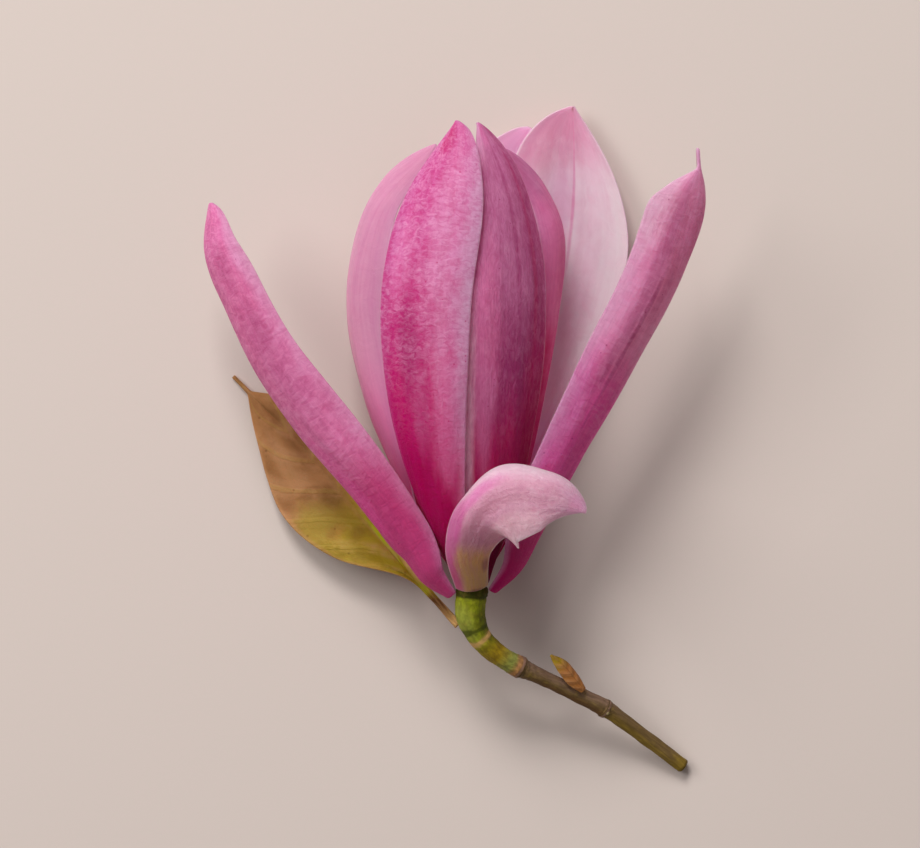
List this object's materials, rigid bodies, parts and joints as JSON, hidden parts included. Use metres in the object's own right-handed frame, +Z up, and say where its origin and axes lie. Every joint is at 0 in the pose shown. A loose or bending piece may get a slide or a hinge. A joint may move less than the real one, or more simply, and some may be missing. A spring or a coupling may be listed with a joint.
{
  "type": "magnolia branch",
  "caption": "Cut magnolia flower lying on its side: a pointed cup of tepals, with outer tepals splayed to both sides or curled over the front, on a green stalk and a short bent leafy twig.",
  "frame": {"origin": "centre of the bounding box, on the surface that the flower lies on", "axes": "+Y from the cut end of the twig towards the flower's tip, +Z up from the surface, +X to the right when the flower is seen from above with its tip ahead"},
  "size_m": [0.1, 0.1362, 0.0419],
  "materials": {
    "tepal_outer": "satin",
    "tepal_deep": "satin",
    "tepal_inner": "satin",
    "tepal_pale": "satin",
    "carpels": "satin",
    "stamens": "satin",
    "twig": "satin",
    "leaf": "satin",
    "side_leaf": "satin"
  },
  "bodies": {
    "root": {"tepal_outer_left": "tepal_outer", "tepal_outer_right": "tepal_outer", "tepal_outer_front": "tepal_pale", "tepal_middle_left": "tepal_deep", "tepal_middle_right": "tepal_deep", "tepal_middle_back": "tepal_pale", "tepal_inner_left": "tepal_inner", "tepal_inner_right": "tepal_inner", "tepal_inner_back": "tepal_pale", "gynoecium": "carpels", "stamens": "stamens", "twig": "twig", "leaf": "leaf", "side_leaf": "side_leaf"}
  },
  "joints": []
}
